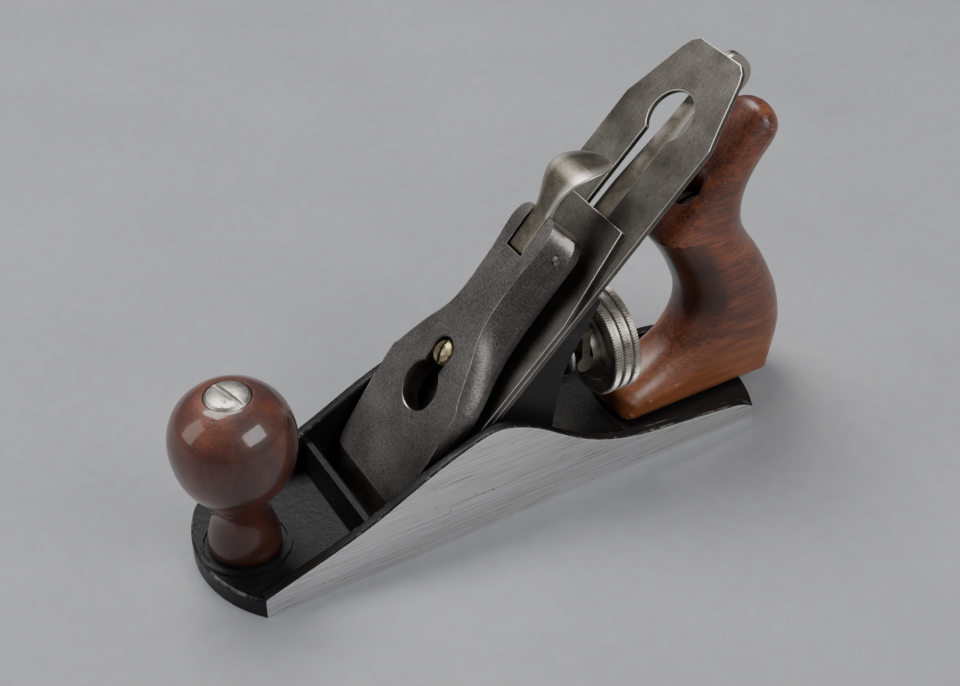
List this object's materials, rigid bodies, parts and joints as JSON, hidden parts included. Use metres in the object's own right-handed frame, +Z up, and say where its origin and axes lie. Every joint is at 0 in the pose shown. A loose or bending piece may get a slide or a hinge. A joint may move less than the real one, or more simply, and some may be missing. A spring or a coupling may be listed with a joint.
{
  "type": "hand plane",
  "caption": "Iron smooth plane with wooden knob and tote, 45 degree frog, screw-adjusted cutter, keyhole lever cap and cam lever.",
  "frame": {"origin": "on the sole, on the centre line, close to the middle of the length", "axes": "+X from toe to heel, +Y to the right hand side, +Z up from the sole"},
  "size_m": [0.2347, 0.054, 0.1361],
  "materials": {
    "body_iron": "black japanned inside, ground bright on the sole and sides",
    "frog_iron": "black japanned",
    "knob_wood": "varnished dark red-brown hardwood",
    "tote_wood": "varnished red-brown hardwood, worn",
    "nickel": "worn nickel plate",
    "screw_steel": "plain steel, aged",
    "blade_steel": "brown-grey aged tool steel",
    "cap_steel": "dark pitted iron with worn bright edges",
    "lever_steel": "pressed steel, aged",
    "brass": "brass with dark patina"
  },
  "bodies": {
    "plane_body": {"body_casting": "body_iron", "front_knob": "knob_wood", "knob_stud": "screw_steel", "knob_nut": "nickel", "tote": "tote_wood", "tote_stud": "screw_steel", "tote_nut": "nickel", "frog_screws": "screw_steel", "frog_washers": "screw_steel"},
    "frog": {"frog": "frog_iron", "adjuster_stud": "screw_steel", "yoke_pin": "screw_steel", "lateral_rivet": "screw_steel", "lever_cap_screw": "brass"},
    "hub": {"adjuster_hub": "nickel"},
    "wheel": {"adjuster_wheel": "nickel"},
    "yoke": {"yoke": "lever_steel"},
    "lateral": {"lateral_lever": "lever_steel", "lateral_disc": "screw_steel"},
    "cutter": {"cutter_iron": "blade_steel", "cap_iron": "blade_steel", "cap_iron_screw": "screw_steel"},
    "lever_cap": {"lever_cap": "cap_steel", "cam_pin": "screw_steel", "cap_spring": "lever_steel", "spring_rivet": "screw_steel"},
    "cam": {"cam_lever": "lever_steel"}
  },
  "joints": [
    {"name": "frog_slide", "type": "slide", "parent": "plane_body", "child": "frog", "axis": [1, 0, 0], "range_m": [-0.001, 0.002]},
    {"name": "hub_travel", "type": "slide", "parent": "frog", "child": "hub", "axis": [1, 0, 0], "range_m": [-0.00275, 0.00275]},
    {"name": "wheel_spin", "type": "hinge", "parent": "hub", "child": "wheel", "pos_m": [0.0295, 0, 0.0375], "axis": [-1, 0, 0], "range_deg": [-1085, 1085]},
    {"name": "yoke_pivot", "type": "hinge", "parent": "frog", "child": "yoke", "pos_m": [0.01706, 0, 0.05699], "axis": [0, 1, 0], "range_deg": [-8.1, 8.1]},
    {"name": "cutter_slide", "type": "slide", "parent": "frog", "child": "cutter", "axis": [0.7071, 0, 0.7071], "range_m": [-0.00215, 0.00215]},
    {"name": "lateral_swing", "type": "hinge", "parent": "frog", "child": "lateral", "pos_m": [0.01607, 0, 0.0693], "axis": [-0.7071, 0, 0.7071], "range_deg": [-8, 8]},
    {"name": "cap_slide", "type": "slide", "parent": "frog", "child": "lever_cap", "axis": [0.7071, 0, 0.7071], "range_m": [0, 0.0135]},
    {"name": "cam_turn", "type": "hinge", "parent": "lever_cap", "child": "cam", "pos_m": [0.00829, 0, 0.08697], "axis": [0, -1, 0], "range_deg": [0, 88]}
  ],
  "couplings": [
    {"joint": "hub_travel", "follows": "cutter_slide", "ratio": -1.2576},
    {"joint": "yoke_pivot", "follows": "cutter_slide", "rad_per_m": 64.516},
    {"joint": "wheel_spin", "follows": "cutter_slide", "rad_per_m": -8779.8}
  ]
}
